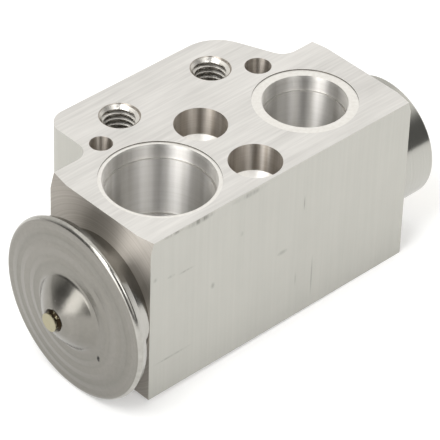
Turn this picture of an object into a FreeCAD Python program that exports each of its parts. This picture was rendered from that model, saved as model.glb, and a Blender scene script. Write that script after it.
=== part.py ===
# Block expansion valve for a refrigeration circuit.
# Millimetres. X runs along the valve axis from the power head to the boss, +Z is up.
# The origin is on the evaporator-side face, midway between the two mounting screw holes.
import math
import os

import FreeCAD
import Part

Vector = FreeCAD.Vector

# Valve block
BLOCK_HEIGHT = 29.5
HEAD_END_FROM_SCREWS = 25.0
BOSS_END_FROM_SCREWS = 28.2
FRONT_FROM_AXIS = 10.7
BACK_FROM_AXIS_AT_HEAD = 11.4
BACK_FROM_AXIS_AT_BOSS = 10.4
AXIS_HEIGHT = 13.9
END_TURNED_RADIUS = 17.4
END_CONE_ANGLE = 20.0
BOSS_RADIUS = 10.2
BOSS_LENGTH = 7.0
BOSS_CHAMFER = 0.5

# Ear that carries the threaded holes
EAR_EDGE_FROM_AXIS = 22.1
EAR_HEAD_SIDE_X = -17.1
EAR_BOSS_SIDE_X = 21.9
EAR_SLANT_ANGLE = 23.0
EAR_HEAD_CORNER_RADIUS = 3.5
EAR_BOSS_CORNER_RADIUS = 7.0
NOTCH_RADIUS = 2.7
SLANT_ROOT_RADIUS = 3.0

# Mounting screw holes, drilled wider from the line side for the heads
SCREW_SPACING = 11.95
SCREW_HOLE_RADIUS = 2.6
COUNTERBORE_RADIUS = 4.15
COUNTERBORE_DEPTH = 4.9

# Threaded holes for the line plate, M6
THREAD_RADIUS = 3.0
THREAD_CHAMFER = 0.25
THREAD_DEPTH = 16.0
THREAD_Y = 15.55
THREAD_HEAD_SIDE_X = -7.75
THREAD_BOSS_SIDE_X = 10.9
DRILL_POINT_ANGLE = 118.0

# Locating holes for the line plate
LOCATOR_DEPTH = 6.0
SMALL_LOCATOR_RADIUS = 1.8
SMALL_LOCATOR_X = -14.45
SMALL_LOCATOR_Y = 12.15
LARGE_LOCATOR_RADIUS = 2.1
LARGE_LOCATOR_X = 16.85
LARGE_LOCATOR_Y = 11.25

# Suction passage, straight through the block and bored wider from each side for the pipes
SUCTION_X = -13.6
SUCTION_PASSAGE_RADIUS = 7.75
SUCTION_RADIUS = 8.15
SUCTION_SEAT_RADIUS = 8.5
SUCTION_RIM_RADIUS = 9.25
SUCTION_SEAT_DEPTH = 2.5
SUCTION_TO_ROD = 0.15

# Liquid inlet, line side, blind and opening into the spring chamber
INLET_X = 16.05
INLET_RADIUS = 6.2
INLET_SEAT_RADIUS = 6.5
INLET_RIM_RADIUS = 8.2
INLET_SEAT_DEPTH = 2.7
INLET_DEPTH = 11.0

# Outlet, evaporator side, with a smaller passage up to the valve axis
OUTLET_X = 8.0
OUTLET_RADIUS = 5.4
OUTLET_SEAT_RADIUS = 5.7
OUTLET_RIM_RADIUS = 6.6
OUTLET_SEAT_DEPTH = 2.7
OUTLET_DEPTH = 6.0
OUTLET_PASSAGE_X = 5.9
OUTLET_PASSAGE_RADIUS = 3.2

# Form shared by the mouths of all ports
RIM_RECESS_DEPTH = 0.12
LEAD_IN_WIDTH = 0.15
LEAD_IN_DEPTH = 0.45

# Power head, measured outwards from the head end of the block
RIM_RADIUS = 14.9
RIM_TAPER = 0.5
RIM_ROUNDING = 0.8
RIM_BACK_LEVEL = 3.9
RIM_WIDEST_LEVEL = 5.0
RIM_FACE_LEVEL = 5.8
SHEET_THICKNESS = 0.9
DIAPHRAGM_LEVEL = 4.65
DIAPHRAGM_THICKNESS = 0.15
DIAPHRAGM_INSET = 0.7
DIAPHRAGM_CLAMPED_WIDTH = 2.0
DIAPHRAGM_WAVES = 3
DIAPHRAGM_WAVE_HEIGHT = 0.18
CAP_RING_SHARES = (0.888, 0.622, 0.308)
CAP_RING_WIDTH = 1.0
CAP_RING_RISE = 0.18
DOME_BASE_RADIUS = 6.75
DOME_FLARE_RADIUS = 1.0
DOME_STEEP_ANGLE = 46.0
DOME_GENTLE_ANGLE = 23.0
DOME_TOP_RADIUS = 2.1
PLUG_RADIUS = 1.5
PLUG_PROUD = 0.8
PLUG_FILLET = 0.35
HUB_LAND = 0.45
HUB_LENGTH = 2.0
NECK_RADIUS = 8.5
NECK_LENGTH = 2.4
NECK_CHAMFER = 0.4
NECK_WALL = 1.5
STOP_SHELF_RADIUS = 9.6

# Socket for the power head in the block
SOCKET_RELIEF = 0.2
HEAD_SEAL_CONE = 1.7
HEAD_SEAL_GAP = 0.02
ROD_WELL_RADIUS = 6.0

# Stem, from the diaphragm to the ball
VALVE_LIFT = 0.8
STOP_GAP = 0.1
PAD_RADIUS = 8.9
PAD_THICKNESS = 1.2
PAD_SPIGOT_RADIUS = 2.0
PAD_SPIGOT_LENGTH = 1.0
ROD_HEAD_RADIUS = 4.6
ROD_HEAD_THICKNESS = 1.6
ROD_RADIUS = 2.8
ROD_END_GAP = 0.4
ROD_CHAMFER = 0.3
PIN_RADIUS = 1.2
PIN_SOCKET_DEPTH = 4.5
RUNNING_CLEARANCE = 0.05

# Stem seal in the wall between the suction passage and the outlet passage
STEM_SEAL_POCKET_RADIUS = 2.8
STEM_SEAL_POCKET_DEPTH = 3.2
SEAL_GAP = 0.03
RETAINER_THICKNESS = 0.5
RETAINER_BORE_RADIUS = 1.5

# Orifice seat and ball
SEAT_RADIUS = 3.5
SEAT_THICKNESS = 2.4
SEAT_SHOULDER = 1.0
SEAT_SHOULDER_BORE_RADIUS = 2.3
ORIFICE_RADIUS = 1.9
ORIFICE_CHAMFER = 0.2
BALL_RADIUS = 2.5
BALL_GAP = 0.03

# Ball carrier, vibration spring and superheat spring
CHAMBER_RADIUS = 5.5
CARRIER_RADIUS = 4.6
CARRIER_THICKNESS = 1.6
CARRIER_CUP_HALF_ANGLE = 60.0
CARRIER_BEHIND_BALL_CENTRE = 0.9
CARRIER_SPIGOT_RADIUS = 2.9
CARRIER_SPIGOT_LENGTH = 3.0
LEAF_THICKNESS = 0.25
LEAF_LENGTH = 2.6
LEAF_WIDTH = 2.4
LEAF_COUNT = 3
SPRING_WIRE_RADIUS = 0.65
SPRING_MEAN_RADIUS = 3.85
SPRING_TURNS = 6.5
SPRING_CLOSED_PITCH = 1.34
SPRING_POINTS_PER_TURN = 16

# Adjusting screw in the boss
SCREW_PITCH = 1.0
SCREW_TURNS_EACH_WAY = 1.0
SCREW_END_GAP = 0.2
INLET_TO_SEAL_WALL = 0.8
SEAL_BORE_RADIUS = 6.9
SEAL_BORE_LAND = 0.4
SCREW_THREAD_RADIUS = 7.5
SCREW_MOUTH_CHAMFER = 0.6
SCREW_EDGE_CHAMFER = 0.4
SCREW_NOSE_LAND = 0.6
SCREW_GROOVE_WIDTH = 1.8
SCREW_GROOVE_RADIUS = 5.5
SCREW_POCKET_RADIUS = 4.7
SCREW_FLOOR_THICKNESS = 1.2
HEX_ACROSS_FLATS = 6.0
HEX_DEPTH = 2.6

# Stations along the valve axis, worked out from the sizes above
head_end_x = -HEAD_END_FROM_SCREWS
boss_root_x = BOSS_END_FROM_SCREWS
boss_tip_x = boss_root_x + BOSS_LENGTH
axis_point = Vector(0, 0, AXIS_HEIGHT)

rim_face_radius = RIM_RADIUS - RIM_ROUNDING
diaphragm_radius = RIM_RADIUS - DIAPHRAGM_INSET
diaphragm_free_radius = diaphragm_radius - DIAPHRAGM_CLAMPED_WIDTH
diaphragm_top = DIAPHRAGM_LEVEL + DIAPHRAGM_THICKNESS / 2
diaphragm_bottom = DIAPHRAGM_LEVEL - DIAPHRAGM_THICKNESS / 2
pad_bottom = diaphragm_bottom - PAD_THICKNESS
stop_shelf_level = pad_bottom - VALVE_LIFT - STOP_GAP
neck_bore_radius = NECK_RADIUS - NECK_WALL
hub_radius = NECK_RADIUS + HEAD_SEAL_CONE + HUB_LAND

web_start_x = SUCTION_X + SUCTION_PASSAGE_RADIUS
stem_seal_floor_x = web_start_x + STEM_SEAL_POCKET_DEPTH
stem_seal_section = (STEM_SEAL_POCKET_RADIUS - PIN_RADIUS - SEAL_GAP) / 2
stem_seal_x = stem_seal_floor_x - stem_seal_section
retainer_x = stem_seal_x - stem_seal_section - SEAL_GAP - RETAINER_THICKNESS
rod_reach = math.sqrt(SUCTION_PASSAGE_RADIUS ** 2 - ROD_RADIUS ** 2)
rod_end_x = SUCTION_X + rod_reach - VALVE_LIFT - ROD_END_GAP

seat_back_x = OUTLET_PASSAGE_X + OUTLET_PASSAGE_RADIUS + SEAT_SHOULDER
seat_face_x = seat_back_x + SEAT_THICKNESS
ball_reach = math.sqrt(BALL_RADIUS ** 2 - ORIFICE_RADIUS ** 2)
ball_x = seat_face_x - ORIFICE_CHAMFER + ball_reach + BALL_GAP
carrier_face_x = ball_x + CARRIER_BEHIND_BALL_CENTRE
carrier_back_x = carrier_face_x + CARRIER_THICKNESS
spring_start_x = carrier_back_x + LEAF_THICKNESS

screw_travel = SCREW_PITCH * SCREW_TURNS_EACH_WAY
seal_bore_x = INLET_X + INLET_RADIUS + INLET_TO_SEAL_WALL
screw_nose_x = seal_bore_x + screw_travel + SCREW_END_GAP
groove_start_x = screw_nose_x + SCREW_NOSE_LAND
groove_end_x = groove_start_x + SCREW_GROOVE_WIDTH
screw_bore_x = groove_end_x + screw_travel + SEAL_BORE_LAND
screw_thread_x = screw_bore_x + screw_travel + SCREW_END_GAP
screw_outer_x = boss_tip_x - screw_travel - SCREW_END_GAP
spring_end_x = screw_outer_x - HEX_DEPTH - SCREW_FLOOR_THICKNESS


def turned(start, *steps):
    """Solid turned about the valve axis from (x, radius) points; a (middle, end) pair is an arc."""
    edges = []
    here = Vector(start[0], 0, start[1])
    for step in list(steps) + [start]:
        if isinstance(step[0], tuple):
            middle, end = (Vector(x, 0, radius) for x, radius in step)
            edges.append(Part.Arc(here, middle, end).toShape())
        else:
            end = Vector(step[0], 0, step[1])
            edges.append(Part.makeLine(here, end))
        here = end
    wire = Part.Wire(edges)
    wire.translate(axis_point)
    return Part.Face(wire).revolve(axis_point, Vector(1, 0, 0), 360)


def bar(x_from, x_to, radius):
    """Plain cylinder on the valve axis."""
    return Part.makeCylinder(radius, x_to - x_from, Vector(x_from, 0, AXIS_HEIGHT), Vector(1, 0, 0))


def ring(x_from, x_to, outer, inner):
    """Plain ring about the valve axis."""
    return turned((x_from, inner), (x_from, outer), (x_to, outer), (x_to, inner))


def seal_ring(x_centre, mean_radius, section_radius):
    """Round-section seal ring about the valve axis."""
    return Part.makeTorus(mean_radius, section_radius, Vector(x_centre, 0, AXIS_HEIGHT), Vector(1, 0, 0))


def tangent(degrees):
    return math.tan(math.radians(degrees))


def hole_tool(x, y, mouth_z, outwards, rings):
    """Cutter for a stepped round hole; rings are (depth, radius) pairs from the mouth inwards."""
    points = [Vector(0, 0, 0)]
    points += [Vector(radius, 0, -outwards * depth) for depth, radius in rings]
    if rings[-1][1] > 0:
        points.append(Vector(0, 0, -outwards * rings[-1][0]))
    points.append(points[0])
    tool = Part.Face(Part.makePolygon(points)).revolve(Vector(0, 0, 0), Vector(0, 0, 1), 360)
    tool.translate(Vector(x, y, mouth_z))
    return tool


def port_tool(x, face_z, outwards, rim, seat, seat_depth, bore, depth):
    """Cutter for a port: shallow spot face, lead-in, seat for the seal ring, then the bore."""
    lead_in_end = RIM_RECESS_DEPTH + LEAD_IN_DEPTH
    rings = [(0.0, rim), (RIM_RECESS_DEPTH, rim), (RIM_RECESS_DEPTH, seat + LEAD_IN_WIDTH),
             (lead_in_end, seat), (seat_depth, seat), (seat_depth, bore), (depth, bore)]
    return hole_tool(x, 0.0, face_z, outwards, rings)


def block_outline():
    """Section of the block, seen from above: each corner has its own rounding."""
    slant_run = (EAR_EDGE_FROM_AXIS - BACK_FROM_AXIS_AT_BOSS) * tangent(EAR_SLANT_ANGLE)
    corners = [
        (head_end_x, -FRONT_FROM_AXIS, 0.0),
        (boss_root_x, -FRONT_FROM_AXIS, 0.0),
        (boss_root_x, BACK_FROM_AXIS_AT_BOSS, 0.0),
        (EAR_BOSS_SIDE_X, BACK_FROM_AXIS_AT_BOSS, SLANT_ROOT_RADIUS),
        (EAR_BOSS_SIDE_X - slant_run, EAR_EDGE_FROM_AXIS, EAR_BOSS_CORNER_RADIUS),
        (EAR_HEAD_SIDE_X, EAR_EDGE_FROM_AXIS, EAR_HEAD_CORNER_RADIUS),
        (EAR_HEAD_SIDE_X, BACK_FROM_AXIS_AT_HEAD, NOTCH_RADIUS),
        (head_end_x, BACK_FROM_AXIS_AT_HEAD, 0.0),
    ]
    points = [Vector(x, y, 0) for x, y, _ in corners]
    edges = []
    ends = []
    for index, (_, _, radius) in enumerate(corners):
        here = points[index]
        if radius == 0:
            ends.append((here, here))
            continue
        back = (points[index - 1] - here).normalize()
        ahead = (points[(index + 1) % len(points)] - here).normalize()
        half_angle = back.getAngle(ahead) / 2
        reach = radius / math.tan(half_angle)
        centre = here + (back + ahead).normalize() * (radius / math.sin(half_angle))
        middle = centre + (here - centre).normalize() * radius
        ends.append((here + back * reach, here + ahead * reach))
        edges.append(Part.Arc(ends[-1][0], middle, ends[-1][1]).toShape())
    for index, (_, leaving) in enumerate(ends):
        arriving = ends[(index + 1) % len(ends)][0]
        edges.append(Part.makeLine(leaving, arriving))
    return Part.Face(Part.Wire(Part.__sortEdges__(edges)))


def turning_envelope():
    """Both ends of the block are faced flat inside a circle and coned back outside it."""
    reach = 3 * EAR_EDGE_FROM_AXIS
    set_back = (reach - END_TURNED_RADIUS) * tangent(END_CONE_ANGLE)
    return turned((head_end_x, 0), (head_end_x, END_TURNED_RADIUS), (head_end_x + set_back, reach),
                  (boss_root_x - set_back, reach), (boss_root_x, END_TURNED_RADIUS), (boss_root_x, 0))


def axial_bores():
    """Everything bored along the valve axis, from the power head socket to the boss mouth."""
    cone_end_x = head_end_x + HEAD_SEAL_CONE
    chamfer_x = boss_tip_x - SCREW_MOUTH_CHAMFER
    return [
        bar(head_end_x, head_end_x + NECK_LENGTH + SOCKET_RELIEF, NECK_RADIUS),
        turned((head_end_x, 0), (head_end_x, NECK_RADIUS + HEAD_SEAL_CONE), (cone_end_x, NECK_RADIUS),
               (cone_end_x, 0)),
        bar(head_end_x, SUCTION_X, ROD_WELL_RADIUS),
        bar(SUCTION_X, stem_seal_floor_x, STEM_SEAL_POCKET_RADIUS),
        bar(SUCTION_X, OUTLET_PASSAGE_X, PIN_RADIUS + RUNNING_CLEARANCE),
        bar(OUTLET_PASSAGE_X, seat_back_x, SEAT_SHOULDER_BORE_RADIUS),
        bar(seat_back_x, seat_face_x, SEAT_RADIUS),
        bar(seat_face_x, seal_bore_x, CHAMBER_RADIUS),
        bar(seal_bore_x, screw_bore_x, SEAL_BORE_RADIUS),
        bar(screw_bore_x, boss_tip_x, SCREW_THREAD_RADIUS),
        turned((chamfer_x, 0), (chamfer_x, SCREW_THREAD_RADIUS),
               (boss_tip_x, SCREW_THREAD_RADIUS + SCREW_MOUTH_CHAMFER), (boss_tip_x, 0)),
    ]


def port_cutters():
    """Suction passage through the block, liquid inlet from above, outlet from below."""
    top = BLOCK_HEIGHT
    clear_of_rod = ROD_RADIUS + SUCTION_TO_ROD
    suction = (SUCTION_RIM_RADIUS, SUCTION_SEAT_RADIUS, SUCTION_SEAT_DEPTH, SUCTION_RADIUS)
    inlet = (INLET_RIM_RADIUS, INLET_SEAT_RADIUS, INLET_SEAT_DEPTH, INLET_RADIUS)
    outlet = (OUTLET_RIM_RADIUS, OUTLET_SEAT_RADIUS, OUTLET_SEAT_DEPTH, OUTLET_RADIUS)
    passage_height = AXIS_HEIGHT + OUTLET_PASSAGE_RADIUS
    return [
        port_tool(SUCTION_X, top, 1, *suction, top - AXIS_HEIGHT - clear_of_rod),
        port_tool(SUCTION_X, 0, -1, *suction, AXIS_HEIGHT - clear_of_rod),
        Part.makeCylinder(SUCTION_PASSAGE_RADIUS, top, Vector(SUCTION_X, 0, 0)),
        port_tool(INLET_X, top, 1, *inlet, INLET_DEPTH),
        port_tool(OUTLET_X, 0, -1, *outlet, OUTLET_DEPTH),
        Part.makeCylinder(OUTLET_PASSAGE_RADIUS, passage_height, Vector(OUTLET_PASSAGE_X, 0, 0)),
    ]


def fixing_holes():
    """Mounting screw holes, threaded holes and locating holes, all worked from the line side."""
    top = BLOCK_HEIGHT
    drill_slope = 1 / tangent(DRILL_POINT_ANGLE / 2)
    floor_rise = (COUNTERBORE_RADIUS - SCREW_HOLE_RADIUS) * drill_slope
    screw_rings = [(0, COUNTERBORE_RADIUS), (COUNTERBORE_DEPTH, COUNTERBORE_RADIUS),
                   (COUNTERBORE_DEPTH + floor_rise, SCREW_HOLE_RADIUS), (top, SCREW_HOLE_RADIUS)]
    thread_rings = [(0, THREAD_RADIUS + THREAD_CHAMFER), (THREAD_CHAMFER, THREAD_RADIUS),
                    (THREAD_DEPTH, THREAD_RADIUS), (THREAD_DEPTH + THREAD_RADIUS * drill_slope, 0)]
    locators = ((SMALL_LOCATOR_X, SMALL_LOCATOR_Y, SMALL_LOCATOR_RADIUS),
                (LARGE_LOCATOR_X, LARGE_LOCATOR_Y, LARGE_LOCATOR_RADIUS))
    cutters = [hole_tool(0, side * SCREW_SPACING / 2, top, 1, screw_rings) for side in (-1, 1)]
    for x in (THREAD_HEAD_SIDE_X, THREAD_BOSS_SIDE_X):
        cutters.append(hole_tool(x, THREAD_Y, top, 1, thread_rings))
    for x, y, radius in locators:
        rings = [(0, radius), (LOCATOR_DEPTH, radius), (LOCATOR_DEPTH + radius * drill_slope, 0)]
        cutters.append(hole_tool(x, y, top, 1, rings))
    return cutters


def valve_body():
    """Block cut from an extruded bar, with its boss, bores, ports and fixing holes."""
    block = block_outline().extrude(Vector(0, 0, BLOCK_HEIGHT)).common(turning_envelope())
    boss_start_x = boss_root_x - BOSS_LENGTH
    boss = turned((boss_start_x, 0), (boss_start_x, BOSS_RADIUS), (boss_tip_x - BOSS_CHAMFER, BOSS_RADIUS),
                  (boss_tip_x, BOSS_RADIUS - BOSS_CHAMFER), (boss_tip_x, 0))
    body = block.fuse(boss).cut(axial_bores() + port_cutters() + fixing_holes())
    return body.Solids[0]


def head_steps(levels):
    """Profile steps of the power head: levels are outwards from the block, stations are along the axis."""
    steps = []
    for step in levels:
        if isinstance(step[0], tuple):
            steps.append(tuple((head_end_x - level, radius) for level, radius in step))
        else:
            steps.append((head_end_x - step[0], step[1]))
    return steps


def rim_radius_at(level):
    """Radius of the rim's edge, which narrows from its widest line back towards the block."""
    share = (level - RIM_BACK_LEVEL) / (RIM_WIDEST_LEVEL - RIM_BACK_LEVEL)
    return RIM_RADIUS - RIM_TAPER * (1 - share)


def cap_rings(offset):
    """Low, sloped rings of the cap from the rim to the crown, offset inwards by the sheet."""
    level = RIM_FACE_LEVEL - offset
    points = []
    for share in CAP_RING_SHARES:
        radius = DOME_BASE_RADIUS + (rim_face_radius - DOME_BASE_RADIUS) * share
        points.append((level, radius))
        level += CAP_RING_RISE
        points.append((level, radius - CAP_RING_WIDTH))
    return points


def cap_dome(offset):
    """Points up the bulge in the middle of the cap, flared at its foot, offset inwards by the sheet."""
    crown = crown_level()
    steep = math.radians(DOME_STEEP_ANGLE)
    gentle = math.radians(DOME_GENTLE_ANGLE)
    foot_radius = DOME_BASE_RADIUS - DOME_FLARE_RADIUS * math.sin(steep)
    foot_level = crown + DOME_FLARE_RADIUS * (1 - math.cos(steep))
    bulge_radius = (foot_radius - DOME_TOP_RADIUS) / (math.sin(steep) - math.sin(gentle))
    bulge_centre = foot_level - bulge_radius * math.cos(steep)
    bulge_reach = foot_radius - bulge_radius * math.sin(steep)
    flare_bend = DOME_FLARE_RADIUS + offset
    bulge_bend = bulge_radius - offset
    points = [(crown - offset, DOME_BASE_RADIUS)]
    for angle in (steep / 2, steep):
        points.append((crown + DOME_FLARE_RADIUS - flare_bend * math.cos(angle),
                       DOME_BASE_RADIUS - flare_bend * math.sin(angle)))
    for angle in ((steep + gentle) / 2, gentle):
        points.append((bulge_centre + bulge_bend * math.cos(angle),
                       bulge_reach + bulge_bend * math.sin(angle)))
    return points


def crown_level():
    return RIM_FACE_LEVEL + CAP_RING_RISE * len(CAP_RING_SHARES)


def power_head_cap():
    """Pressed cap: rounded rim, low rings and a flared bulge with the charging hole at its tip."""
    outer_foot, outer_flare, outer_bend, outer_bulge, outer_top = cap_dome(0)
    inner_foot, inner_flare, inner_bend, inner_bulge, inner_top = cap_dome(SHEET_THICKNESS)
    inner_rings = [point for point in cap_rings(SHEET_THICKNESS) if point[1] < diaphragm_free_radius]
    edge_share = math.sqrt(0.5)
    edge_level = RIM_WIDEST_LEVEL + (RIM_FACE_LEVEL - RIM_WIDEST_LEVEL) * edge_share
    edge_radius = rim_face_radius + RIM_ROUNDING * edge_share
    levels = [(RIM_WIDEST_LEVEL, RIM_RADIUS),
              ((edge_level, edge_radius), (RIM_FACE_LEVEL, rim_face_radius))]
    levels += cap_rings(0)
    levels += [outer_foot, (outer_flare, outer_bend), (outer_bulge, outer_top)]
    levels += [(outer_top[0], PLUG_RADIUS), (inner_top[0], PLUG_RADIUS)]
    levels += [inner_top, (inner_bulge, inner_bend), (inner_flare, inner_foot)]
    levels += list(reversed(inner_rings))
    levels += [(inner_rings[0][0], diaphragm_free_radius), (diaphragm_top, diaphragm_free_radius),
               (diaphragm_top, diaphragm_radius), (diaphragm_bottom, diaphragm_radius)]
    steps = head_steps([(diaphragm_bottom, rim_radius_at(diaphragm_bottom))] + levels)
    return turned(steps[0], *steps[1:])


def power_head_shell():
    """Lower shell: flange under the diaphragm, stop shelf, hub on the block and neck in its socket."""
    levels = [
        (diaphragm_bottom, rim_radius_at(diaphragm_bottom)),
        (diaphragm_bottom, diaphragm_free_radius),
        (stop_shelf_level, STOP_SHELF_RADIUS),
        (stop_shelf_level, neck_bore_radius),
        (-NECK_LENGTH, neck_bore_radius),
        (-NECK_LENGTH, NECK_RADIUS - NECK_CHAMFER),
        (-NECK_LENGTH + NECK_CHAMFER, NECK_RADIUS),
        (0, NECK_RADIUS),
        (0, hub_radius),
        (HUB_LENGTH, hub_radius),
        (RIM_BACK_LEVEL, rim_radius_at(RIM_BACK_LEVEL)),
    ]
    steps = head_steps(levels)
    return turned(steps[0], *steps[1:])


def diaphragm():
    """Thin disc clamped under the cap, flat on the pad and waved between the pad and the clamp."""
    wave_width = (diaphragm_free_radius - PAD_RADIUS) / DIAPHRAGM_WAVES
    faces = []
    for level in (diaphragm_bottom, diaphragm_top):
        face = []
        for wave in range(DIAPHRAGM_WAVES):
            inner_radius = PAD_RADIUS + wave * wave_width
            crest = (level + DIAPHRAGM_WAVE_HEIGHT, inner_radius + wave_width / 2)
            face.append((crest, (level, inner_radius + wave_width)))
        faces.append(face)
    rising = [(diaphragm_bottom, 0), (diaphragm_bottom, PAD_RADIUS)] + faces[0]
    rising.append((diaphragm_bottom, diaphragm_radius))
    falling = [(diaphragm_top, diaphragm_radius), (diaphragm_top, diaphragm_free_radius)]
    for crest, _ in reversed(faces[1]):
        falling.append((crest, (diaphragm_top, crest[1] - wave_width / 2)))
    steps = head_steps(rising + falling + [(diaphragm_top, 0)])
    return turned(steps[0], *steps[1:])


def charge_plug():
    """Pin that closes the charging hole, with the solder fillet round its foot."""
    top = cap_dome(0)[-1][0]
    foot = cap_dome(SHEET_THICKNESS)[-1][0]
    levels = [(foot, 0), (foot, PLUG_RADIUS), (top, PLUG_RADIUS), (top, PLUG_RADIUS + PLUG_FILLET),
              (top + PLUG_FILLET, PLUG_RADIUS), (top + PLUG_PROUD, PLUG_RADIUS), (top + PLUG_PROUD, 0)]
    steps = head_steps(levels)
    return turned(steps[0], *steps[1:])


def head_seal():
    """Seal ring in the cone round the socket, between the block, the hub and the neck."""
    section = HEAD_SEAL_CONE * (1 - math.sqrt(0.5)) - HEAD_SEAL_GAP
    offset = section + HEAD_SEAL_GAP
    return seal_ring(head_end_x + offset, NECK_RADIUS + offset, section)


def diaphragm_pad():
    """Stop plate under the diaphragm, with a spigot for the sensing rod."""
    spigot_end = pad_bottom - PAD_SPIGOT_LENGTH
    levels = [(diaphragm_bottom, 0), (diaphragm_bottom, PAD_RADIUS), (pad_bottom, PAD_RADIUS),
              (pad_bottom, PAD_SPIGOT_RADIUS), (spigot_end, PAD_SPIGOT_RADIUS), (spigot_end, 0)]
    steps = head_steps(levels)
    return turned(steps[0], *steps[1:])


def sensing_rod():
    """Rod that crosses the suction passage: head on the pad, socket for the push pin at its end."""
    top_x = head_end_x - pad_bottom
    head_x = top_x + ROD_HEAD_THICKNESS
    spigot_x = top_x + PAD_SPIGOT_LENGTH
    socket_x = rod_end_x - PIN_SOCKET_DEPTH
    return turned((spigot_x, 0), (spigot_x, PAD_SPIGOT_RADIUS), (top_x, PAD_SPIGOT_RADIUS),
                  (top_x, ROD_HEAD_RADIUS), (head_x, ROD_HEAD_RADIUS), (head_x, ROD_RADIUS),
                  (rod_end_x - ROD_CHAMFER, ROD_RADIUS), (rod_end_x, ROD_RADIUS - ROD_CHAMFER),
                  (rod_end_x, PIN_RADIUS), (socket_x, PIN_RADIUS), (socket_x, 0))


def push_pin():
    """Pin from the sensing rod through the wall and the orifice to the ball."""
    return bar(rod_end_x - PIN_SOCKET_DEPTH, ball_x - BALL_RADIUS, PIN_RADIUS)


def stem_seal():
    return seal_ring(stem_seal_x, PIN_RADIUS + SEAL_GAP + stem_seal_section, stem_seal_section)


def stem_seal_retainer():
    """Washer pressed into the pocket to hold the stem seal."""
    return ring(retainer_x, retainer_x + RETAINER_THICKNESS, STEM_SEAL_POCKET_RADIUS, RETAINER_BORE_RADIUS)


def orifice_seat():
    """Seat ring pressed into the wall between the outlet passage and the spring chamber."""
    chamfer_x = seat_face_x - ORIFICE_CHAMFER
    return turned((seat_back_x, ORIFICE_RADIUS), (seat_back_x, SEAT_RADIUS), (seat_face_x, SEAT_RADIUS),
                  (seat_face_x, ORIFICE_RADIUS + ORIFICE_CHAMFER), (chamfer_x, ORIFICE_RADIUS))


def valve_ball():
    return Part.makeSphere(BALL_RADIUS, Vector(ball_x, 0, AXIS_HEIGHT))


def ball_carrier():
    """Plate between the ball and the spring, with a conical cup and a spigot inside the spring."""
    half_angle = math.radians(CARRIER_CUP_HALF_ANGLE)
    cup_tip_x = ball_x + BALL_RADIUS / math.sin(half_angle)
    cup_mouth_radius = (cup_tip_x - carrier_face_x) * math.tan(half_angle)
    spigot_end_x = carrier_back_x + CARRIER_SPIGOT_LENGTH
    return turned((cup_tip_x, 0), (carrier_face_x, cup_mouth_radius), (carrier_face_x, CARRIER_RADIUS),
                  (carrier_back_x, CARRIER_RADIUS), (carrier_back_x, CARRIER_SPIGOT_RADIUS),
                  (spigot_end_x, CARRIER_SPIGOT_RADIUS), (spigot_end_x, 0))


def vibration_spring():
    """Ring behind the carrier with leaves that lie along the chamber wall and damp its rattle."""
    outer = CHAMBER_RADIUS - RUNNING_CLEARANCE
    leaf_x = spring_start_x - LEAF_LENGTH
    washer = ring(carrier_back_x, spring_start_x, CARRIER_RADIUS, CARRIER_SPIGOT_RADIUS)
    collar = turned((carrier_back_x, CARRIER_SPIGOT_RADIUS), (spring_start_x, CARRIER_SPIGOT_RADIUS),
                    (spring_start_x, outer), (leaf_x, outer), (leaf_x, outer - LEAF_THICKNESS),
                    (carrier_back_x, outer - LEAF_THICKNESS))
    leaves = []
    for index in range(LEAF_COUNT):
        strip = Part.makeBox(LEAF_LENGTH, LEAF_WIDTH, CHAMBER_RADIUS,
                             Vector(leaf_x, -LEAF_WIDTH / 2, AXIS_HEIGHT))
        strip.rotate(axis_point, Vector(1, 0, 0), (index + 0.5) * 360 / LEAF_COUNT)
        leaves.append(collar.common(strip))
    return washer.fuse(leaves).Solids[0]


def superheat_spring():
    """Compression spring with a closed, ground turn at each end."""
    length = spring_end_x - spring_start_x
    active_turns = SPRING_TURNS - 2
    active_pitch = (length - 2 * SPRING_CLOSED_PITCH) / active_turns
    points = []
    for index in range(round(SPRING_TURNS * SPRING_POINTS_PER_TURN) + 1):
        turns = index / SPRING_POINTS_PER_TURN
        active = min(max(turns - 1, 0), active_turns)
        x = spring_start_x + (turns - active) * SPRING_CLOSED_PITCH + active * active_pitch
        angle = 2 * math.pi * turns
        points.append(Vector(x, SPRING_MEAN_RADIUS * math.cos(angle),
                             AXIS_HEIGHT + SPRING_MEAN_RADIUS * math.sin(angle)))
    curve = Part.BSplineCurve()
    curve.interpolate(points)
    centre_line = Part.Wire([curve.toShape()])
    start_tangent = curve.tangent(curve.FirstParameter)[0]
    section = Part.Wire([Part.makeCircle(SPRING_WIRE_RADIUS, points[0], start_tangent)])
    coil = centre_line.makePipeShell([section], True, True)
    return coil.common(bar(spring_start_x, spring_end_x, CHAMBER_RADIUS)).Solids[0]


def adjusting_screw():
    """Hollow screw in the boss: spring pocket, seal groove, thread and key socket."""
    nose = SEAL_BORE_RADIUS - RUNNING_CLEARANCE
    thread = SCREW_THREAD_RADIUS - RUNNING_CLEARANCE
    chamfer = SCREW_EDGE_CHAMFER
    body = turned((screw_nose_x, SCREW_POCKET_RADIUS), (screw_nose_x, nose - chamfer),
                  (screw_nose_x + chamfer, nose), (groove_start_x, nose),
                  (groove_start_x, SCREW_GROOVE_RADIUS), (groove_end_x, SCREW_GROOVE_RADIUS),
                  (groove_end_x, nose), (screw_thread_x, nose), (screw_thread_x, thread),
                  (screw_outer_x - chamfer, thread), (screw_outer_x, thread - chamfer), (screw_outer_x, 0),
                  (spring_end_x, 0), (spring_end_x, SCREW_POCKET_RADIUS))
    corner_radius = HEX_ACROSS_FLATS / 2 / math.cos(math.pi / 6)
    corners = []
    for index in range(7):
        angle = index * math.pi / 3
        corners.append(Vector(screw_outer_x, corner_radius * math.cos(angle),
                              AXIS_HEIGHT + corner_radius * math.sin(angle)))
    key_socket = Part.Face(Part.makePolygon(corners)).extrude(Vector(-HEX_DEPTH, 0, 0))
    return body.cut(key_socket)


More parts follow.
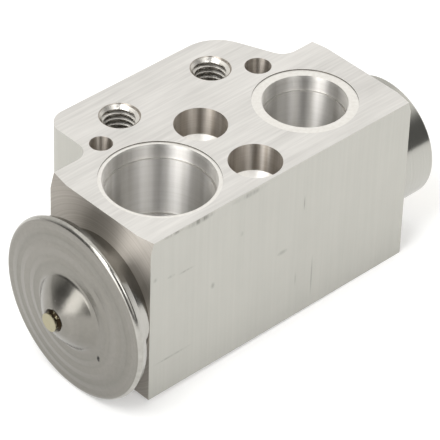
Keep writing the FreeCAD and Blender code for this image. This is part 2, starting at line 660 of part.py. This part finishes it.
def adjusting_screw_seal():
    section = (SEAL_BORE_RADIUS - SCREW_GROOVE_RADIUS) / 2 - SEAL_GAP
    mean_radius = (SEAL_BORE_RADIUS + SCREW_GROOVE_RADIUS) / 2
    return seal_ring((groove_start_x + groove_end_x) / 2, mean_radius, section)


PARTS = (
    valve_body,
    power_head_cap,
    power_head_shell,
    diaphragm,
    charge_plug,
    head_seal,
    diaphragm_pad,
    sensing_rod,
    push_pin,
    stem_seal,
    stem_seal_retainer,
    orifice_seat,
    valve_ball,
    ball_carrier,
    vibration_spring,
    superheat_spring,
    adjusting_screw,
    adjusting_screw_seal,
)

os.makedirs("parts", exist_ok=True)
for make in PARTS:
    shape = make()
    shape.exportStep(f"parts/{make.__name__}.step")
    print(f"{make.__name__}: {len(shape.Solids)} solid, {shape.Volume:.1f} mm3, valid {shape.isValid()}")
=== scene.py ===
# Looks of a block expansion valve: machined aluminium block with a pressed steel power head.
# Lengths are written in millimetres and turned to metres where a mesh or a node takes them.
import math

import bmesh
import bpy
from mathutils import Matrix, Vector

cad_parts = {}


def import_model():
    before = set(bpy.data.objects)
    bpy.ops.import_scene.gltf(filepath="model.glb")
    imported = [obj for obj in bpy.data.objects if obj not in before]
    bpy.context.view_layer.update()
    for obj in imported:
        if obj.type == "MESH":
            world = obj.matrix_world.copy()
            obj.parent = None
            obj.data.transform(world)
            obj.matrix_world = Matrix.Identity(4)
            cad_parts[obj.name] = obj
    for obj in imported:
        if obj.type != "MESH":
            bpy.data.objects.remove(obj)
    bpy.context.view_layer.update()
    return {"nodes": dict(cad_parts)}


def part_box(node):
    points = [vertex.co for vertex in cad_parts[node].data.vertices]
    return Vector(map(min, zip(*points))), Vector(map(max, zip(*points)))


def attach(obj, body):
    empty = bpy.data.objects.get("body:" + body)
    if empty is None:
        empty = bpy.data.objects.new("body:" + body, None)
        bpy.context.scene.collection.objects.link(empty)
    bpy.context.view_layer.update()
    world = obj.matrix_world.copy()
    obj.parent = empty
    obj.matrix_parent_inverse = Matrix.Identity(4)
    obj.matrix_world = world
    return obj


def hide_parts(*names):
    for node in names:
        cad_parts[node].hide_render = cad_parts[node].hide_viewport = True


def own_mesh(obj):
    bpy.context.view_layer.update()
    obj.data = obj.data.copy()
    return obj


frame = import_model()
nodes = frame["nodes"]

MM = 0.001

# Block, with its extent taken from the frame
block_low, block_high = (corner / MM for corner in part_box("valve_body"))
HEAD_END_X = block_low.x
FRONT_Y = block_low.y
BACK_Y = 10.4
BLOCK_TOP = block_high.z
AXIS_HEIGHT = 13.9
AXIS_POINT = (0, 0, AXIS_HEIGHT)
BOSS_LENGTH = 7.0
BOSS_ROOT_X = block_high.x - BOSS_LENGTH
BOSS_RADIUS = 10.2

# Threads of the two tapped holes, M6
THREADED_HOLES = {"thread_head_side": (-7.75, 15.55), "thread_boss_side": (10.9, 15.55)}
THREAD_MAJOR_RADIUS = 3.0
THREAD_MINOR_RADIUS = 2.46
THREAD_PITCH = 1.0
THREAD_TURNS = 15
THREAD_STEPS_PER_TURN = 48
THREAD_CREST_WIDTH = 0.18
THREAD_ROOT_GAP = 0.12
THREAD_SUNK_IN_WALL = 0.08
THREAD_TURNS_PAST_MOUTH = 0.3
THREAD_BELOW_FACE = 0.04
COUNTERSINK_WIDTH = 0.1

# Small holes, each as x, y and radius
LOCATING_HOLES = ((-14.45, 12.15, 1.8), (16.85, 11.25, 2.1))
TAPPED_HOLES = tuple((x, y, THREAD_MAJOR_RADIUS) for x, y in THREADED_HOLES.values())
COUNTERBORES = ((0, -5.975, 4.15), (0, 5.975, 4.15))
SMALL_HOLES = LOCATING_HOLES + TAPPED_HOLES + COUNTERBORES

# Rims of the suction port, the liquid inlet and the outlet, each as x and radius
PORT_RIMS = ((-13.6, 9.25), (16.05, 8.2), (8.0, 6.6))
RIM_RECESS_DEPTH = 0.12

# Slack and reach for telling the faces of the block apart
NEAR = 0.01
WALL_SLACK = 0.1
HOLE_CHAMFER_REACH = 0.4
HOLE_MOUTH_DEPTH = 2.0
END_CONE_DEPTH = 1.0
BOSS_WALL = 3.0

# How much of a face's normal lies along X or Z, for telling which way it looks
LEVEL_FACE = 0.99
END_FACE = 0.9
END_CONE_SLANT = 0.4
HOLE_CONE_SLANT = 0.2
UPRIGHT_FACE = 0.01

# Power head and its charge plug
HEAD_RADIUS = 14.9
HEAD_LOWEST_X = -30.4
RIM_ROLL_RADIUS = 14.5
PLUG_FOOT_X = -34.3

# Patterns and marks, with the colour sockets of a Mix node
ENDLESS = 1e6
NOISE_DETAIL = 3.0
NOISE_LOW, NOISE_HIGH = 0.3, 0.7
MARK_CORE = 0.3
MARK_DEPTH = 0.5
MIX_FROM, MIX_TO, MIX_RESULT = 6, 7, 2

# Studio: directions seen from the block, with the cosines where each light or shade begins and is full
PAPER = ((0.64, 0.71, 0.31), -0.1, 0.75)
LEFT_WINDOW = ((-0.93, -0.12, 0.3), 0.91, 0.955)
FRONT_WINDOW = ((-0.13, -0.89, 0.43), 0.93, 0.97)
LEFT_WALL = ((-0.97, -0.25, 0.0), 0.92, 0.97)
PHOTOGRAPHER = ((-0.38, -0.39, 0.84), 0.88, 0.94)
SHADE_STRENGTH = 0.12
ROOM_STRENGTH, ROOF_STRENGTH = 0.16, 1.3
ROOF_BEGINS, ROOF_FULL = 0.6, 0.78
FLOOR_GLOW = 0.25
FLOOR_GAP = 0.02
FLOOR_REACH = 4000.0
LAMP_TARGET = (0, 0, 10)

# Camera, solved from points of the photo, with its turn in degrees
CAMERA_PLACE = (-265.11, -271.70, 315.66)
CAMERA_TURN = (51.576, -1.563, -42.941)
SENSOR_WIDTH = 36.0
FOCAL_LENGTH = 261.06
CLIP_START, CLIP_END = 0.05, 20.0


def colour(code):
    """Linear colour with alpha from a six-digit sRGB hex value."""
    channels = [int(code[i:i + 2], 16) / 255 for i in (1, 3, 5)]
    return [c / 12.92 if c <= 0.04045 else ((c + 0.055) / 1.055) ** 2.4 for c in channels] + [1.0]


def add(tree, kind, inputs=None, **settings):
    """Adds a node with its settings; an input is a value or a socket to link."""
    made = tree.nodes.new(kind)
    for key, value in settings.items():
        setattr(made, key, value)
    for key, value in (inputs or {}).items():
        if isinstance(value, bpy.types.NodeSocket):
            tree.links.new(value, made.inputs[key])
        else:
            made.inputs[key].default_value = value
    return made


def new_material(name):
    """Material with an empty node tree, and that tree."""
    material = bpy.data.materials.new(name)
    material.use_nodes = True
    material.node_tree.nodes.clear()
    return material, material.node_tree


def place_from(tree, point, factors):
    """Place on the object from a point given in mm, times a factor along X, Y and Z."""
    place = add(tree, "ShaderNodeTexCoord").outputs["Object"]
    start = [c * MM for c in point]
    place = add(tree, "ShaderNodeVectorMath", {0: place, 1: start}, operation="SUBTRACT").outputs[0]
    return add(tree, "ShaderNodeVectorMath", {0: place, 1: factors}, operation="MULTIPLY").outputs[0]


def pattern(tree, sizes, rings_about=None):
    """Noise from 0 to 1 with features of these sizes in mm along X, Y and Z, or in rings about a point."""
    place = place_from(tree, rings_about or (0, 0, 0), [1 / (s * MM) for s in sizes])
    if rings_about:
        distance = add(tree, "ShaderNodeVectorMath", {0: place}, operation="LENGTH").outputs["Value"]
        inputs = {"W": distance, "Scale": 1.0, "Detail": NOISE_DETAIL}
        grain = add(tree, "ShaderNodeTexNoise", inputs, noise_dimensions="1D")
    else:
        inputs = {"Vector": place, "Scale": 1.0, "Detail": NOISE_DETAIL}
        grain = add(tree, "ShaderNodeTexNoise", inputs)
    middle = {"Value": grain.outputs["Fac"], "From Min": NOISE_LOW, "From Max": NOISE_HIGH}
    return add(tree, "ShaderNodeMapRange", middle).outputs["Result"]


def axis_rings(share, width):
    """Grain of rings about the valve axis."""
    return share, (ENDLESS, width, width), AXIS_POINT


def mark(tree, centre, sizes):
    """Soft patch, 1 in its core and 0 from one size away, given in mm along X, Y and Z."""
    place = place_from(tree, centre, [1 / (s * MM) for s in sizes])
    distance = add(tree, "ShaderNodeVectorMath", {0: place}, operation="LENGTH").outputs["Value"]
    fade = {"Value": distance, "From Min": 1.0, "From Max": MARK_CORE}
    return add(tree, "ShaderNodeMapRange", fade).outputs["Result"]


def across_dies(tree):
    """Level direction in an upright face, square to vertical die lines."""
    normal = add(tree, "ShaderNodeNewGeometry").outputs["True Normal"]
    return add(tree, "ShaderNodeVectorMath", {0: normal, 1: (0, 0, 1)}, operation="CROSS_PRODUCT").outputs[0]


def from_axis(tree):
    """Direction away from the valve axis, square to turning rings on a faced end."""
    return place_from(tree, AXIS_POINT, (0, 1, 1))


def metal(name, grains, tones, roughness, relief, sheen=None, stretch=0.0, marks=(), mark_tone="#000000"):
    """Metal whose tone, gloss and relief follow its grains, the first of which also makes the relief.

    A grain is a share with the sizes of a pattern, relief is its height in mm, and sheen is the way
    that the gloss stretches, as a direction or a function that makes one. A mark is a strength with
    the centre and sizes of a patch of mark_tone, broken up by the first grain.
    """
    material, tree = new_material(name)
    tone, height = 0.0, None
    for share, *sizes in grains:
        figure = pattern(tree, *sizes)
        height = height or figure
        sums = {0: figure, 1: share, 2: tone}
        tone = add(tree, "ShaderNodeMath", sums, operation="MULTIPLY_ADD").outputs[0]
    dark, light = (colour(code) for code in tones)
    mixed = {"Factor": tone, MIX_FROM: dark, MIX_TO: light}
    base = add(tree, "ShaderNodeMix", mixed, data_type="RGBA").outputs[MIX_RESULT]
    for strength, centre, sizes in marks:
        patch = {0: mark(tree, centre, sizes), 1: strength}
        patch = add(tree, "ShaderNodeMath", patch, operation="MULTIPLY").outputs[0]
        cover = add(tree, "ShaderNodeMath", {0: patch, 1: height}, operation="MULTIPLY").outputs[0]
        stained = {"Factor": cover, MIX_FROM: base, MIX_TO: colour(mark_tone)}
        base = add(tree, "ShaderNodeMix", stained, data_type="RGBA").outputs[MIX_RESULT]
    gloss = add(tree, "ShaderNodeMapRange", {"Value": tone, "To Min": roughness[0], "To Max": roughness[1]})
    bumps = add(tree, "ShaderNodeBump", {"Height": height, "Distance": relief * MM})
    inputs = {"Base Color": base, "Roughness": gloss.outputs["Result"], "Metallic": 1.0,
              "Normal": bumps.outputs[0]}
    if callable(sheen):
        inputs.update({"Tangent": sheen(tree), "Anisotropic": stretch})
    elif sheen:
        way = add(tree, "ShaderNodeCombineXYZ", dict(enumerate(sheen)))
        inputs.update({"Tangent": way.outputs[0], "Anisotropic": stretch})
    shader = add(tree, "ShaderNodeBsdfPrincipled", inputs)
    add(tree, "ShaderNodeOutputMaterial", {"Surface": shader.outputs[0]})
    return material


def milled_aluminium():
    """Face-milled aluminium: tool streaks along X under a broad, soft sheen.

    The streaks are drawn coarser than a cutter leaves them, so that they show.
    """
    return metal("milled_aluminium", ((0.55, (9, 0.4, 1)), (0.45, (14, 6, 1))), ("#CDCBC8", "#E7E5E2"),
                 roughness=(0.28, 0.38), relief=0.003, sheen=(0, 1, 0), stretch=0.5)


def front_marks():
    """Burrs under the top edge, scratches and spots on the front of the block.

    Each is a strength, the x and z of its centre, and how far it reaches across and up.
    """
    burrs = ((0.75, (-15.5, 29.1), (3.2, 0.7)), (0.65, (-20.5, 29.3), (2.4, 0.4)),
             (0.45, (-5.5, 28.8), (4.0, 0.6)))
    scratches = ((0.5, (-17.9, 21.15), (1.9, 0.25)), (0.4, (-20.3, 6.2), (4.5, 0.25)),
                 (0.9, (6.05, 21.25), (0.2, 1.6)), (0.5, (4.9, 7.2), (0.2, 1.5)),
                 (0.5, (8.4, 5.9), (0.2, 4.5)))
    spots = ((0.5, (-6.9, 22.1), (0.5, 0.6)), (0.45, (1.8, 14.0), (1.2, 0.5)),
             (0.7, (-20.9, 21.6), (0.8, 0.35)), (0.45, (-12.5, 15.3), (0.5, 0.7)),
             (0.45, (-24.1, 22.5), (0.5, 0.5)))
    return [(strength, (x, FRONT_Y, z), (across, MARK_DEPTH, up))
            for strength, (x, z), (across, up) in burrs + scratches + spots]


def extruded_aluminium():
    """Extruded aluminium left as drawn: faint upright die lines, a dull skin, and small marks in front.

    The die lines are drawn coarser than real ones, so that they show.
    """
    return metal("extruded_aluminium", ((0.5, (0.5, 0.5, 30)), (0.5, (7, 7, 9))), ("#B4B3AD", "#BFBEB8"),
                 roughness=(0.45, 0.55), relief=0.004, sheen=across_dies, stretch=0.4,
                 marks=front_marks(), mark_tone="#5F5D57")


def turned_face_aluminium():
    """Aluminium faced on the lathe: rings about the valve axis draw the light out into a soft fan.

    The rings are drawn coarser than the tool's feed, so that they show.
    """
    return metal("turned_face_aluminium", (axis_rings(1.0, 0.3),), ("#ADA79F", "#BEB9B2"),
                 roughness=(0.52, 0.58), relief=0.002, sheen=from_axis, stretch=0.95)


def turned_boss_aluminium():
    """Aluminium turned to a smooth, bright cylinder, with lines round it drawn coarse enough to show."""
    return metal("turned_boss_aluminium", ((1.0, (0.25, ENDLESS, ENDLESS)),), ("#A6A59F", "#B3B2AD"),
                 roughness=(0.14, 0.2), relief=0.002, sheen=(1, 0, 0), stretch=0.5)


def bored_aluminium():
    """Bored aluminium: fine rings stretch the gloss down the hole, and chips left upright streaks."""
    return metal("bored_aluminium", ((0.3, (30, 30, 0.25)), (0.7, (1.3, 1.3, 60))), ("#DFDCD6", "#F7F5F2"),
                 roughness=(0.5, 0.56), relief=0.0008, sheen=(0, 0, 1), stretch=1.0)


def drilled_aluminium():
    """Drilled aluminium: duller and browner than a bored wall, with upright streaks of dried oil."""
    return metal("drilled_aluminium", ((0.3, (30, 30, 0.2)), (0.7, (0.8, 0.8, 40))), ("#B0A69A", "#DAD4CC"),
                 roughness=(0.42, 0.5), relief=0.0015, sheen=(0, 0, 1), stretch=1.0)


def faced_seat_aluminium():
    """Spot-faced ring round a port or cone in a small hole: brighter than the milled face, and as smooth."""
    return metal("faced_seat_aluminium", ((1.0, (0.6, 0.6, 0.6)),), ("#E4E1DC", "#EEECE8"),
                 roughness=(0.3, 0.36), relief=0.0002)


def shade_painted_step_aluminium():
    """Low step round a port, dull where the cutter rubbed, and painted dark as the shade that falls in its
    corner.
    """
    return metal("shade_painted_step_aluminium", ((1.0, (0.5, 0.5, 0.5)),), ("#57534C", "#78746D"),
                 roughness=(0.5, 0.6), relief=0.0005)


def tapped_aluminium():
    """Tapped aluminium: bright thread flanks, slightly torn along the cut."""
    return metal("tapped_aluminium", ((1.0, (1.2, 1.2, 0.3)),), ("#CFCCC6", "#DEDBD5"),
                 roughness=(0.24, 0.32), relief=0.0003)


def pressed_steel():
    """Pressed stainless steel: satin skin with tone bands that follow the rings, and one nick in the face."""
    nicks = ((2.5, (-31.3, -6.6, 9.0), (1.0, 0.35, 0.7)),)
    return metal("pressed_stainless_steel", ((0.35, (0.6, 0.6, 0.6)), axis_rings(0.65, 2.2)),
                 ("#7C7A74", "#8C8983"), roughness=(0.22, 0.28), relief=0.001, sheen=from_axis, stretch=0.3,
                 marks=nicks, mark_tone="#1E1D1A")


def turned_steel_with_painted_light():
    """Turned stainless steel: rings about the valve axis on the back and hub of the power head, in a tone
    lighter than the cap's that partly paints the light on them.

    The rings are drawn coarser than the tool's feed, so that they show.
    """
    return metal("turned_stainless_steel_with_painted_light", (axis_rings(1.0, 0.3),), ("#A9A7A2", "#BBB9B4"),
                 roughness=(0.2, 0.28), relief=0.001)


def burnished_highlit_steel():
    """Burnished stainless steel on the rolled rim of the power head, smoother than the pressed faces; its
    brighter tone is partly a painted highlight.
    """
    return metal("burnished_highlit_stainless_steel", ((1.0, (0.8, 0.8, 0.8)),), ("#A09E98", "#AEACA7"),
                 roughness=(0.16, 0.22), relief=0.0005)


def brass_with_dark_foot():
    """Cut brass pin, dull and yellow on the face, dark brown round its foot."""
    foot = ((4.0, (PLUG_FOOT_X, 0, AXIS_HEIGHT), (0.9, 40, 40)),)
    return metal("brass_with_dark_foot", ((1.0, (0.5, 0.5, 0.5)),), ("#9C957A", "#C2BDA4"),
                 roughness=(0.35, 0.5), relief=0.01, marks=foot, mark_tone="#2E261B")


def lined_metal(name, dark, light, roughness):
    """Metal of a small inner piece, with fine lines across its length from turning, grinding or drawing."""
    return metal(name, ((1.0, (0.2, 8, 8)),), (dark, light), roughness, relief=0.002)


def moulded_rubber():
    """Moulded nitrile rubber: nearly black, matt, with a faint bloom."""
    material, tree = new_material("moulded_rubber")
    bloom = pattern(tree, (0.8, 0.8, 0.8))
    tones = {"Factor": bloom, MIX_FROM: colour("#1B1C1C"), MIX_TO: colour("#2A2C2B")}
    base = add(tree, "ShaderNodeMix", tones, data_type="RGBA").outputs[MIX_RESULT]
    gloss = add(tree, "ShaderNodeMapRange", {"Value": bloom, "To Min": 0.55, "To Max": 0.7})
    bumps = add(tree, "ShaderNodeBump", {"Height": bloom, "Distance": 0.01 * MM})
    shader = add(tree, "ShaderNodeBsdfPrincipled", {"Base Color": base, "Roughness": gloss.outputs["Result"],
                                                    "IOR": 1.5, "Normal": bumps.outputs[0]})
    add(tree, "ShaderNodeOutputMaterial", {"Surface": shader.outputs[0]})
    return material


def pale_floor():
    """Plain matt paper that the camera and mirrors see as nearly white, and that still takes a shadow."""
    material, tree = new_material("pale_floor")
    paper = colour("#F2F2F2")
    path = add(tree, "ShaderNodeLightPath")
    rays = [path.outputs[kind] for kind in ("Is Camera Ray", "Is Glossy Ray", "Is Transmission Ray")]
    two = add(tree, "ShaderNodeMath", {0: rays[0], 1: rays[1]}, operation="MAXIMUM").outputs[0]
    clear = add(tree, "ShaderNodeMath", {0: two, 1: rays[2]}, operation="MAXIMUM").outputs[0]
    plain = add(tree, "ShaderNodeBsdfDiffuse", {"Color": paper})
    lift = add(tree, "ShaderNodeEmission", {"Color": paper, "Strength": FLOOR_GLOW})
    both = add(tree, "ShaderNodeAddShader", {0: plain.outputs[0], 1: lift.outputs[0]})
    mixed = add(tree, "ShaderNodeMixShader", {0: clear, 1: plain.outputs[0], 2: both.outputs[0]})
    add(tree, "ShaderNodeOutputMaterial", {"Surface": mixed.outputs[0]})
    return material


def put(node_name, *materials):
    """Gives a CAD node its materials in place of the plain one."""
    slots = nodes[node_name].data.materials
    slots.clear()
    for material in materials:
        slots.append(material)


def in_scene(name, data):
    """Object at the origin with this mesh, light or lens."""
    made = bpy.data.objects.new(name, data)
    bpy.context.scene.collection.objects.link(made)
    return made


def finished_piece(name, bm, material):
    """Object made from a bmesh, which is freed."""
    mesh = bpy.data.meshes.new(name)
    bm.to_mesh(mesh)
    bm.free()
    mesh.materials.append(material)
    return in_scene(name, mesh)


def block_finish(centre, normal):
    """Which finish a face of the block has, from where it is and which way it looks."""
    x, y, z = centre
    off_axis = math.hypot(y, z - AXIS_HEIGHT)
    below_face = min(z, BLOCK_TOP - z)
    endwise, upwards = abs(normal.x), abs(normal.z)
    if x > BOSS_ROOT_X - NEAR and off_axis > BOSS_RADIUS - BOSS_WALL and endwise < END_FACE:
        return "boss"
    if upwards > LEVEL_FACE:
        return "seat" if NEAR < below_face < RIM_RECESS_DEPTH + NEAR else "milled"
    at_an_end = x < HEAD_END_X + END_CONE_DEPTH or x > BOSS_ROOT_X - END_CONE_DEPTH
    if at_an_end and endwise > END_FACE and upwards < END_CONE_SLANT:
        return "faced"
    if any(math.hypot(x - hx, y - hy) < radius + HOLE_CHAMFER_REACH for hx, hy, radius in SMALL_HOLES):
        in_the_deep = z < BLOCK_TOP - HOLE_MOUTH_DEPTH
        return "seat" if in_the_deep and upwards > HOLE_CONE_SLANT else "drilled"
    # The low walls round the ports take a dark finish that paints the shade in the step.
    on_a_rim = any(abs(math.hypot(x - px, y) - rim) < WALL_SLACK for px, rim in PORT_RIMS)
    if on_a_rim and below_face < RIM_RECESS_DEPTH:
        return "step"
    if upwards < UPRIGHT_FACE and (y < FRONT_Y + NEAR or y > BACK_Y - WALL_SLACK):
        return "extruded"
    return "bored"


def dress_block():
    """Gives every face of the block the finish that its making left."""
    finishes = {"milled": milled_aluminium(), "faced": turned_face_aluminium(),
                "boss": turned_boss_aluminium(), "extruded": extruded_aluminium(),
                "bored": bored_aluminium(), "drilled": drilled_aluminium(),
                "seat": faced_seat_aluminium(), "step": shade_painted_step_aluminium()}
    names = list(finishes)
    put("valve_body", *finishes.values())
    for face in nodes["valve_body"].data.polygons:
        face.material_index = names.index(block_finish(face.center / MM, face.normal))


def dress_head():
    """Satin cap and turned shell, both given the burnished steel with its painted highlight where the rim is
    rolled, and the brass charge plug.
    """
    burnished_highlit = burnished_highlit_steel()
    for name, plain in (("power_head_cap", pressed_steel()), ("power_head_shell", turned_steel_with_painted_light())):
        put(name, plain, burnished_highlit)
        mesh = nodes[name].data
        off_axis = [math.hypot(v.co.y / MM, v.co.z / MM - AXIS_HEIGHT) for v in mesh.vertices]
        for face in mesh.polygons:
            face.material_index = int(min(off_axis[i] for i in face.vertices) > RIM_ROLL_RADIUS)
    put("charge_plug", brass_with_dark_foot())


def dress_inner_pieces():
    """Metals and rubber of the pieces inside, some of which show through the ports."""
    # Rolled sheet: an even satin that shows the waves of the diaphragm
    rolled_steel = lined_metal("rolled_stainless_steel", "#A6A4A0", "#BAB8B4", roughness=(0.25, 0.35))
    # Ground discs and pins: bright, with hair lines
    ground_steel = lined_metal("ground_steel", "#9C9B98", "#BFBEBB", roughness=(0.15, 0.25))
    # Drawn and hardened wire: darker and duller
    spring_wire = lined_metal("drawn_spring_wire", "#7C7B78", "#989794", roughness=(0.25, 0.38))
    # Turned aluminium: pale and satin
    turned_rod = lined_metal("turned_aluminium_rod", "#B8B6B2", "#D0CECA", roughness=(0.22, 0.35))
    # Turned brass: clean and yellow
    turned_brass = lined_metal("turned_brass", "#B59A5C", "#CDB373", roughness=(0.2, 0.32))
    # Polished bearing ball: nearly a mirror
    polished_steel = lined_metal("polished_ball_steel", "#B4B4B3", "#C4C4C3", roughness=(0.06, 0.1))
    rubber = moulded_rubber()
    put("diaphragm", rolled_steel)
    for name in ("diaphragm_pad", "push_pin", "stem_seal_retainer", "orifice_seat", "ball_carrier"):
        put(name, ground_steel)
    for name in ("vibration_spring", "superheat_spring"):
        put(name, spring_wire)
    put("sensing_rod", turned_rod)
    put("adjusting_screw", turned_brass)
    put("valve_ball", polished_steel)
    for name in ("head_seal", "stem_seal", "adjusting_screw_seal"):
        put(name, rubber)
    working_spring(spring_wire)


def thread_ridge(name, x, y, material):
    """Helical ridge that stands inside a tapped hole, ending in the countersink at the mouth."""
    wall_radius = THREAD_MAJOR_RADIUS + THREAD_SUNK_IN_WALL
    half_root = (THREAD_PITCH - THREAD_ROOT_GAP) / 2
    half_crest = THREAD_CREST_WIDTH / 2
    profile = ((wall_radius, -half_root), (THREAD_MINOR_RADIUS, -half_crest),
               (THREAD_MINOR_RADIUS, half_crest), (wall_radius, half_root))
    start_z = BLOCK_TOP - THREAD_PITCH * (THREAD_TURNS - THREAD_TURNS_PAST_MOUTH)
    mouth_z = BLOCK_TOP - THREAD_BELOW_FACE
    bm = bmesh.new()
    corners = [bm.verts.new((x + radius, y, start_z + rise)) for radius, rise in profile]
    edges = [bm.edges.new(pair) for pair in zip(corners, corners[1:] + corners[:1])]
    bm.faces.new(corners)
    swept = bmesh.ops.spin(bm, geom=corners + edges, cent=(x, y, 0), axis=(0, 0, 1),
                           angle=THREAD_TURNS * math.tau, steps=THREAD_TURNS * THREAD_STEPS_PER_TURN,
                           dvec=(0, 0, THREAD_PITCH / THREAD_STEPS_PER_TURN))
    last = [v for v in swept["geom_last"] if isinstance(v, bmesh.types.BMVert)]
    bmesh.ops.contextual_create(bm, geom=last)
    for vertex in bm.verts:
        outwards = Vector((vertex.co.x - x, vertex.co.y - y, 0))
        countersink = THREAD_MAJOR_RADIUS + COUNTERSINK_WIDTH - max(mouth_z - vertex.co.z, 0.0)
        if outwards.length < countersink:
            vertex.co += outwards.normalized() * (countersink - outwards.length)
        vertex.co.z = min(vertex.co.z, mouth_z)
    bmesh.ops.recalc_face_normals(bm, faces=bm.faces)
    bmesh.ops.scale(bm, vec=(MM, MM, MM), verts=bm.verts)
    ridge = finished_piece(name, bm, material)
    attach(ridge, "block")


def threads():
    """Ridges of the two tapped holes, in the same metal."""
    flanks = tapped_aluminium()
    for name, (x, y) in THREADED_HOLES.items():
        thread_ridge(name, x, y, flanks)


def working_spring(material):
    """The superheat spring once more, as a piece of the block with its own mesh, in place of the CAD node."""
    bm = bmesh.new()
    bm.from_mesh(nodes["superheat_spring"].data)
    coil = finished_piece("superheat_coil", bm, material)
    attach(coil, "block")
    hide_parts("superheat_spring")
    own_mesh(coil)


def floor():
    """Pale floor through the rim of the power head and the far lower edge of the block."""
    head_lowest_z = AXIS_HEIGHT - HEAD_RADIUS
    slope = -head_lowest_z / (BOSS_ROOT_X - HEAD_LOWEST_X)
    bm = bmesh.new()
    bmesh.ops.create_grid(bm, x_segments=1, y_segments=1, size=FLOOR_REACH)
    for vertex in bm.verts:
        vertex.co.z = head_lowest_z + (vertex.co.x - HEAD_LOWEST_X) * slope - FLOOR_GAP
    bmesh.ops.scale(bm, vec=(MM, MM, MM), verts=bm.verts)
    plane = finished_piece("floor", bm, pale_floor())


def lamp(name, place, size, power):
    """Softbox that faces the block, its power in watts."""
    light = bpy.data.lights.new(name, "AREA")
    light.shape = "RECTANGLE"
    light.size, light.size_y = (s * MM for s in size)
    light.energy = power
    made = in_scene(name, light)
    made.location = Vector(place) * MM
    made.rotation_euler = (Vector(LAMP_TARGET) - Vector(place)).to_track_quat("-Z", "Y").to_euler()


def glow(tree, direction, spot):
    """How far a direction lies inside a light or shade of the world, from 0 to 1."""
    centre, begins, full = spot
    nearness = add(tree, "ShaderNodeVectorMath", {0: direction, 1: Vector(centre).normalized()},
                   operation="DOT_PRODUCT").outputs["Value"]
    edge = {"Value": nearness, "From Min": begins, "From Max": full}
    return add(tree, "ShaderNodeMapRange", edge, interpolation_type="SMOOTHSTEP").outputs["Result"]


def world():
    """Plain studio: a bright roof, white paper behind, two windows and a dim room with the photographer."""
    made = bpy.data.worlds.new("studio")
    bpy.context.scene.world = made
    made.use_nodes = True
    tree = made.node_tree
    tree.nodes.clear()
    direction = add(tree, "ShaderNodeTexCoord").outputs["Generated"]
    height = add(tree, "ShaderNodeSeparateXYZ", {0: direction}).outputs["Z"]
    roof = {"Value": height, "From Min": ROOF_BEGINS, "From Max": ROOF_FULL,
            "To Min": ROOM_STRENGTH, "To Max": ROOF_STRENGTH}
    strength = add(tree, "ShaderNodeMapRange", roof, interpolation_type="SMOOTHSTEP").outputs["Result"]
    for spot in (PAPER, LEFT_WALL, LEFT_WINDOW, FRONT_WINDOW):
        lit = {0: glow(tree, direction, spot), 1: strength}
        strength = add(tree, "ShaderNodeMath", lit, operation="MAXIMUM").outputs[0]
    shade = {"Value": glow(tree, direction, PHOTOGRAPHER), "To Min": 1.0, "To Max": SHADE_STRENGTH}
    shade = add(tree, "ShaderNodeMapRange", shade).outputs["Result"]
    strength = add(tree, "ShaderNodeMath", {0: strength, 1: shade}, operation="MULTIPLY").outputs[0]
    surround = add(tree, "ShaderNodeBackground", {"Color": colour("#FFFEFB"), "Strength": strength})
    add(tree, "ShaderNodeOutputWorld", {"Surface": surround.outputs[0]})


def camera():
    """Camera at the photo's place, with its lens."""
    lens = bpy.data.cameras.new("camera")
    lens.sensor_width = SENSOR_WIDTH
    lens.lens = FOCAL_LENGTH
    lens.clip_start, lens.clip_end = CLIP_START, CLIP_END
    made = in_scene("camera", lens)
    made.location = Vector(CAMERA_PLACE) * MM
    made.rotation_euler = [math.radians(a) for a in CAMERA_TURN]
    bpy.context.scene.camera = made


camera()
dress_block()
dress_head()
dress_inner_pieces()
threads()

floor()
world()
lamp("roof_softbox", place=(-300, -60, 520), size=(220, 220), power=1.0)
lamp("front_softbox", place=(-110, -410, 434), size=(200, 260), power=0.5)
lamp("side_softbox", place=(-815, -60, 390), size=(430, 850), power=2.6)

bpy.context.scene.view_settings.view_transform = "Standard"
